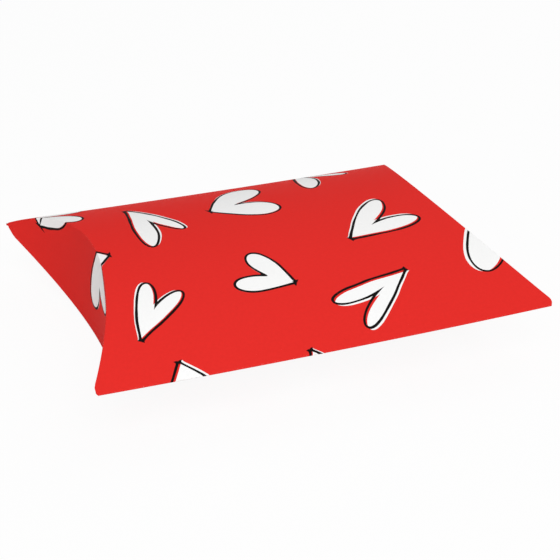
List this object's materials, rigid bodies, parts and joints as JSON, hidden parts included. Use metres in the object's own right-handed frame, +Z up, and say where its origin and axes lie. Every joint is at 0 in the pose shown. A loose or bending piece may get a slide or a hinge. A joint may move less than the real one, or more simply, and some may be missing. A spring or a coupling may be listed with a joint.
{
  "type": "pillow box",
  "caption": "Pillow-shaped folding gift box of printed board: two arched panels, curved creases and hinged end flaps that fold inwards.",
  "frame": {"origin": "under the middle of the box, on the surface that it lies on", "axes": "+X along the box towards its right end, +Y towards the glued seam at the back, +Z up"},
  "size_m": [0.147, 0.1242, 0.035],
  "materials": {
    "printed_board": "red print with white hearts under a semi-matt coating",
    "bare_board": "uncoated pale back of the board",
    "glue": "set dispersion glue"
  },
  "bodies": {
    "root": {"top_panel": "printed_board", "bottom_panel": "printed_board", "front_fold": "printed_board", "back_fold": "printed_board", "glue_tab": "bare_board", "glue_line": "glue", "left_top_crease": "printed_board", "left_bottom_crease": "printed_board", "right_top_crease": "printed_board", "right_bottom_crease": "printed_board"},
    "left_outer": {"left_outer_flap": "printed_board"},
    "left_inner": {"left_inner_flap": "printed_board"},
    "right_outer": {"right_outer_flap": "printed_board"},
    "right_inner": {"right_inner_flap": "printed_board"}
  },
  "joints": [
    {"name": "left_outer_fold", "type": "hinge", "parent": "root", "child": "left_outer", "pos_m": [-0.0575, 0, 0.035], "axis": [0, 1, 0], "range_deg": [0, 90]},
    {"name": "left_inner_fold", "type": "hinge", "parent": "root", "child": "left_inner", "pos_m": [-0.0568, 0, 0], "axis": [0, -1, 0], "range_deg": [0, 90]},
    {"name": "right_outer_fold", "type": "hinge", "parent": "root", "child": "right_outer", "pos_m": [0.0575, 0, 0.035], "axis": [0, -1, 0], "range_deg": [0, 90]},
    {"name": "right_inner_fold", "type": "hinge", "parent": "root", "child": "right_inner", "pos_m": [0.0568, 0, 0], "axis": [0, 1, 0], "range_deg": [0, 90]}
  ],
  "couplings": [
    {"joint": "left_inner_fold", "follows": "left_outer_fold", "ratio": 1},
    {"joint": "right_inner_fold", "follows": "right_outer_fold", "ratio": 1}
  ]
}
